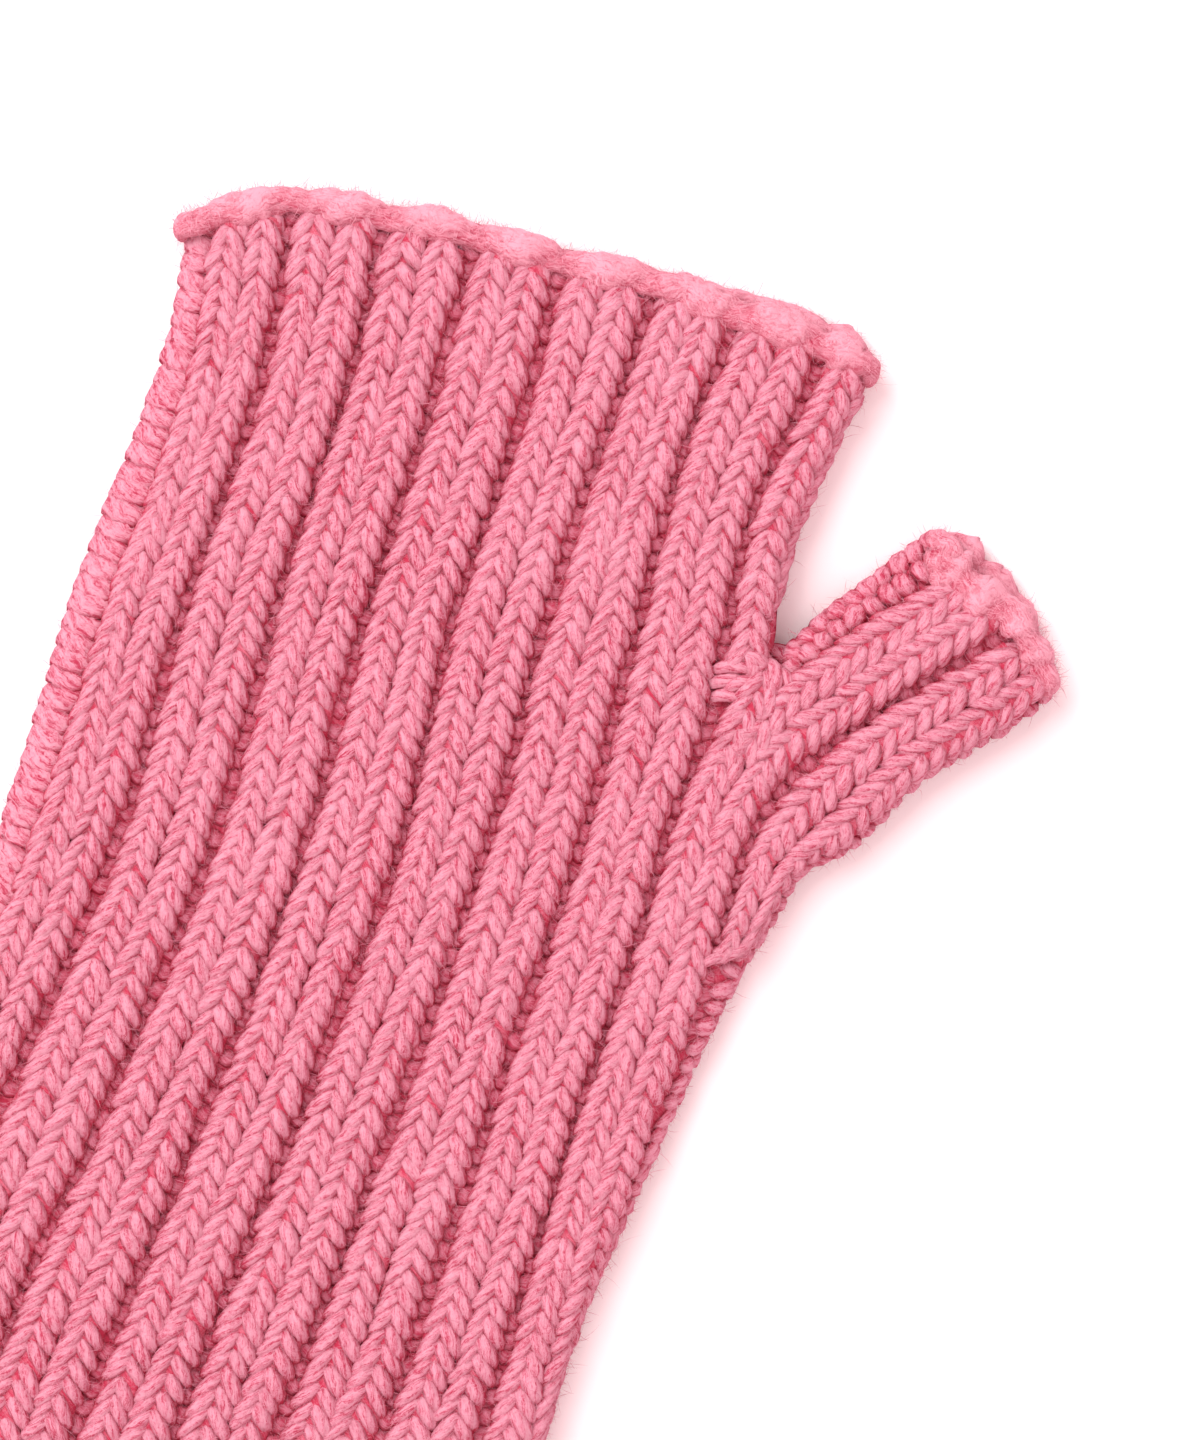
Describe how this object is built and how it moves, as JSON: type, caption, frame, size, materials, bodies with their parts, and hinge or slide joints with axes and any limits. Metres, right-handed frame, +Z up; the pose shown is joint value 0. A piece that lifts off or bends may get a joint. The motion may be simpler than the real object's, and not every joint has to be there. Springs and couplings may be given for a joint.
{
  "type": "ribbed knitted arm warmer with thumb",
  "caption": "Long fingerless arm warmer in chunky pink ribbed wool, lying flat, with a short gusseted thumb and soft rolled edges.",
  "frame": {"origin": "middle of the bounding box, on the surface the arm warmer lies on", "axes": "+Y along the arm from the elbow end to the fingers, +X across to the thumb's side, +Z up out of the surface"},
  "size_m": [0.1283, 0.3, 0.0079],
  "materials": {
    "rib_knit_wool": "matt brushed wool with a fine halo of fibres",
    "rolled_edge_wool": "matt felted wool, paler and fuzzier than the ribs"
  },
  "bodies": {
    "root": {"body_tube": "rib_knit_wool", "thumb_tube": "rib_knit_wool", "finger_edge": "rolled_edge_wool", "thumb_edge": "rolled_edge_wool", "arm_edge": "rolled_edge_wool"}
  },
  "joints": []
}
